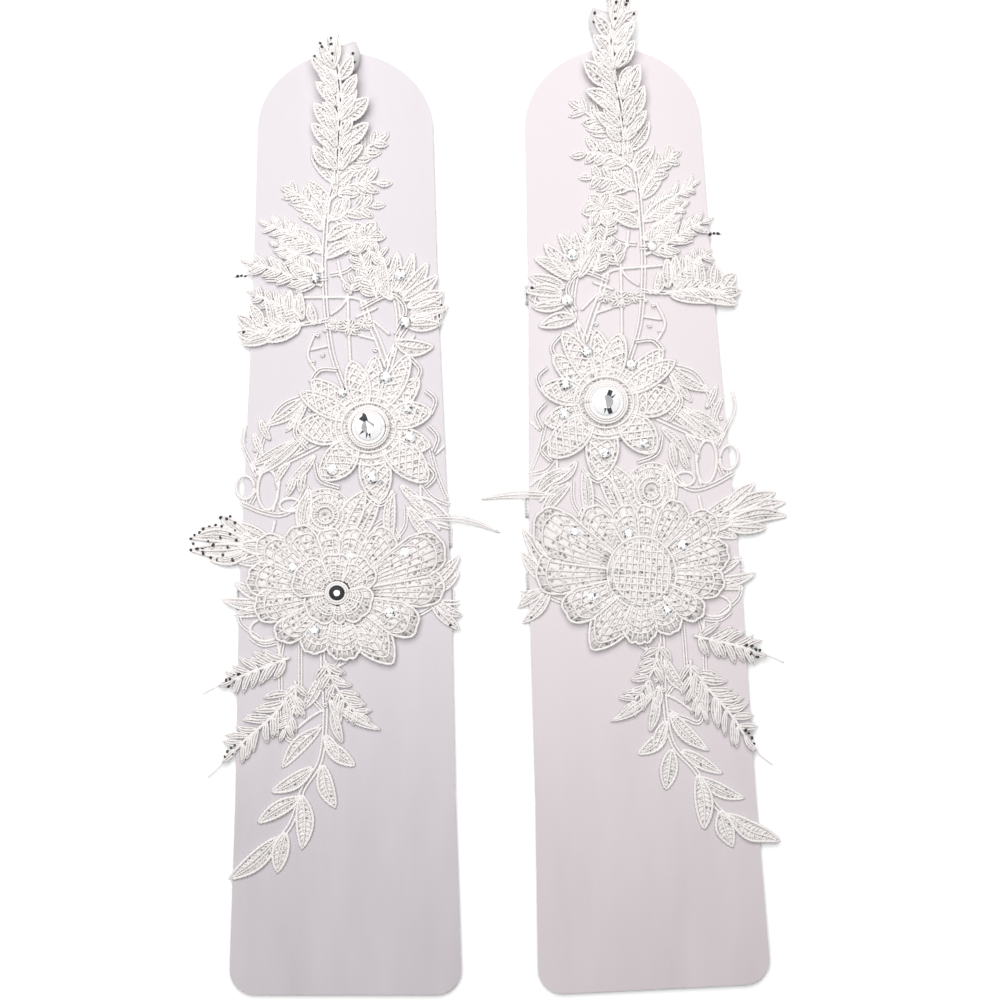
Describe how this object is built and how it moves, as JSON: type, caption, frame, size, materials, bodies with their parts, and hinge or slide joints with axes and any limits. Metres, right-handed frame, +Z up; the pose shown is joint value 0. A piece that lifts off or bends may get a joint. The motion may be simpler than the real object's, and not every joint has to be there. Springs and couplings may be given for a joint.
{
  "type": "pair of fingerless lace bridal gloves",
  "caption": "Pair of white fingerless bridal gloves in corded floral lace with crystals and a finger loop, each lying on an arched display insert that slides out.",
  "frame": {"origin": "bottom centre of the pair as it lies, on the table under the bands", "axes": "+X from the left glove to the right one, +Y towards the finger tips, +Z up from the table"},
  "size_m": [0.2417, 0.3951, 0.0125],
  "materials": {
    "guipure_lace": "corded thread, matte with a slight silk sheen",
    "corded_net": "fine corded net, matte",
    "elastic": "woven white elastic, matte",
    "satin_ribbon": "satin ribbon with a soft sheen",
    "insert_sheet": "smooth sheet, half gloss",
    "plated_metal": "bright silver plating",
    "crystal": "faceted and foil backed",
    "sequin_film": "silver film"
  },
  "bodies": {
    "left_glove": {"left_palm_band": "elastic", "left_wrist_band": "elastic", "left_forearm_band": "elastic", "left_finger_loop": "satin_ribbon", "left_finger_tip": "guipure_lace", "left_finger_stem": "guipure_lace", "left_knuckle_sprays": "guipure_lace", "left_bride_net": "corded_net", "left_star_flower": "guipure_lace", "left_crystal_setting": "plated_metal", "left_large_crystal": "crystal", "left_side_leaves": "guipure_lace", "left_rosebud": "guipure_lace", "left_outer_cluster": "guipure_lace", "left_peony_back": "corded_net", "left_peony_front": "guipure_lace", "left_small_setting": "plated_metal", "left_small_crystal": "crystal", "left_edge_leaves": "guipure_lace", "left_hem_spray": "guipure_lace", "left_hem_ferns": "corded_net", "left_sequins": "sequin_film"},
    "left_insert": {"left_card": "insert_sheet"},
    "right_glove": {"right_palm_band": "elastic", "right_wrist_band": "elastic", "right_forearm_band": "elastic", "right_finger_loop": "satin_ribbon", "right_finger_tip": "guipure_lace", "right_finger_stem": "guipure_lace", "right_knuckle_sprays": "guipure_lace", "right_bride_net": "corded_net", "right_star_flower": "guipure_lace", "right_crystal_setting": "plated_metal", "right_large_crystal": "crystal", "right_side_leaves": "guipure_lace", "right_rosebud": "guipure_lace", "right_outer_cluster": "guipure_lace", "right_peony_back": "corded_net", "right_peony_front": "guipure_lace", "right_edge_leaves": "guipure_lace", "right_hem_spray": "guipure_lace", "right_hem_ferns": "corded_net", "right_sequins": "sequin_film"},
    "right_insert": {"right_card": "insert_sheet"}
  },
  "joints": [
    {"name": "left_insert_slide", "type": "slide", "parent": "left_glove", "child": "left_insert", "axis": [0, -1, 0], "range_m": [0, 0.36]},
    {"name": "pair_spacing", "type": "slide", "parent": "left_glove", "child": "right_glove", "axis": [1, 0, 0], "range_m": [0, 0.12]},
    {"name": "right_insert_slide", "type": "slide", "parent": "right_glove", "child": "right_insert", "axis": [0.0489, -0.9988, 0], "range_m": [0, 0.36]}
  ]
}
